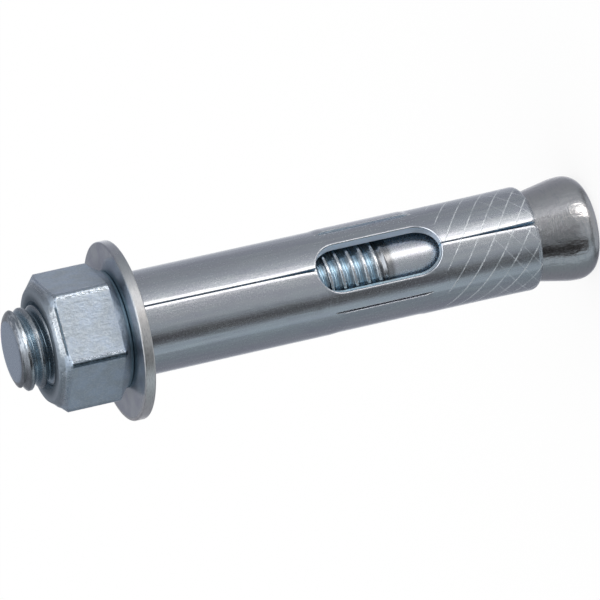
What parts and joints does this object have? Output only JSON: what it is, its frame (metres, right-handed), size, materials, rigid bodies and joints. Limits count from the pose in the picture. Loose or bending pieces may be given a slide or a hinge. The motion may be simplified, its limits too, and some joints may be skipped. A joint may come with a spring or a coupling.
{
  "type": "sleeve anchor",
  "caption": "Zinc-plated sleeve anchor: stud with expander cone, split rolled sleeve with an obround window, flat washer and hexagon nut.",
  "frame": {"origin": "centre of the expander cone's flat end face, on which the anchor stands", "axes": "+Z along the stud from the cone to the nut; -Y towards the sleeve's seam and window"},
  "size_m": [0.0278, 0.0278, 0.094],
  "materials": {
    "stud_zinc": "bright zinc plating on cold-forged steel",
    "sleeve_zinc": "bright zinc plating on drawn sheet steel",
    "washer_zinc": "bright zinc plating on blanked steel",
    "nut_zinc": "satin zinc plating on cold-formed steel"
  },
  "bodies": {
    "stud": {"anchor_stud": "stud_zinc"},
    "sleeve": {"expansion_sleeve": "sleeve_zinc"},
    "nut": {"hex_nut": "nut_zinc"},
    "washer": {"flat_washer": "washer_zinc"}
  },
  "joints": [
    {"name": "sleeve_slide", "type": "slide", "parent": "stud", "child": "sleeve", "axis": [0, 0, 1], "range_m": [0, 0.0046]},
    {"name": "nut_turn", "type": "hinge", "parent": "sleeve", "child": "nut", "pos_m": [0, 0, 0.07745], "axis": [0, 0, 1], "range_deg": [0, 847.57]},
    {"name": "washer_turn", "type": "hinge", "parent": "sleeve", "child": "washer", "pos_m": [-0.00039, 0.00009, 0.07575], "axis": [0, 0, 1], "continuous": true}
  ],
  "couplings": [
    {"joint": "nut_turn", "follows": "sleeve_slide", "rad_per_m": 3215.8}
  ]
}
